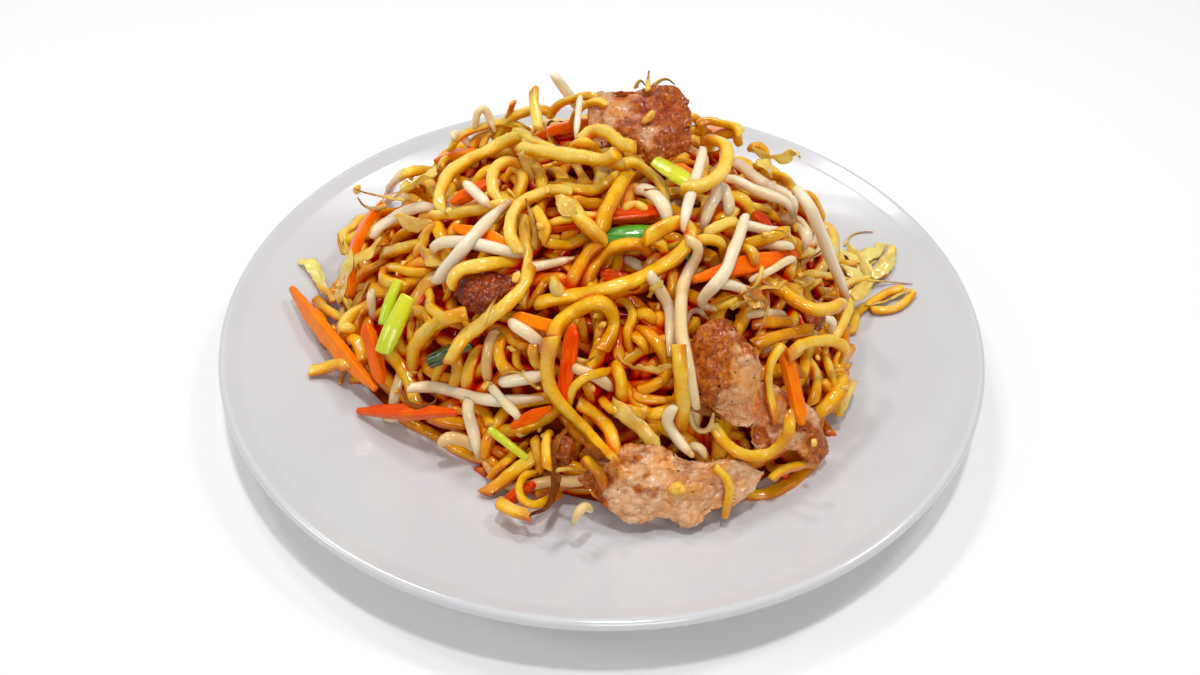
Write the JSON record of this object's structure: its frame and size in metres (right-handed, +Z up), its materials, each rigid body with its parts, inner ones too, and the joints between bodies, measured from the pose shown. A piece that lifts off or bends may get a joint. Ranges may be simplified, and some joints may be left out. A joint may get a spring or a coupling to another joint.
{
  "type": "plate of stir-fried noodles",
  "caption": "Round white coupe plate with a tall loose heap of stir-fried noodles, bean sprouts, pork slices, carrot strips and spring onion.",
  "frame": {"origin": "under the centre of the plate's foot, on the table", "axes": "+Z up, +X to the diner's right, -Y towards the diner (the side with the large pork slice at the heap's foot)"},
  "size_m": [0.2698, 0.2698, 0.0886],
  "materials": {
    "porcelain": "glazed white porcelain, plain, with a soft sheen",
    "noodle": "fried wheat noodles and bean sprouts, yellow to brown, lightly oiled",
    "pork": "cooked pork, pale pinkish brown with dark browned edges, moist",
    "carrot": "cooked carrot, orange, oiled",
    "spring_onion": "cooked spring onion leaf, light to dark green, oiled"
  },
  "bodies": {
    "root": {"carrot_back_left": "carrot", "carrot_back_low": "carrot", "carrot_back_right": "carrot", "carrot_back_top": "carrot", "carrot_centre": "carrot", "carrot_centre_red": "carrot", "carrot_front_low": "carrot", "carrot_left_arc": "carrot", "carrot_left_long": "carrot", "carrot_left_low": "carrot", "carrot_left_point": "carrot", "carrot_left_shoulder": "carrot", "carrot_mid_left": "carrot", "carrot_mid_low": "carrot", "carrot_mid_small": "carrot", "carrot_mid_upright": "carrot", "carrot_right_big": "carrot", "carrot_right_red": "carrot", "carrot_right_upright": "carrot", "carrot_top_right": "carrot", "noodle_heap": "noodle", "onion_back_leaf": "spring_onion", "onion_centre_leaf": "spring_onion", "onion_dark_left": "spring_onion", "onion_dark_right": "spring_onion", "onion_front_sliver": "spring_onion", "onion_left_leaf": "spring_onion", "onion_left_stalk": "spring_onion", "onion_top_leek": "spring_onion", "plate": "porcelain", "pork_front": "pork", "pork_inner": "pork", "pork_middle": "pork", "pork_nugget_front": "pork", "pork_nugget_right": "pork", "pork_right": "pork", "pork_top": "pork"}
  },
  "joints": []
}
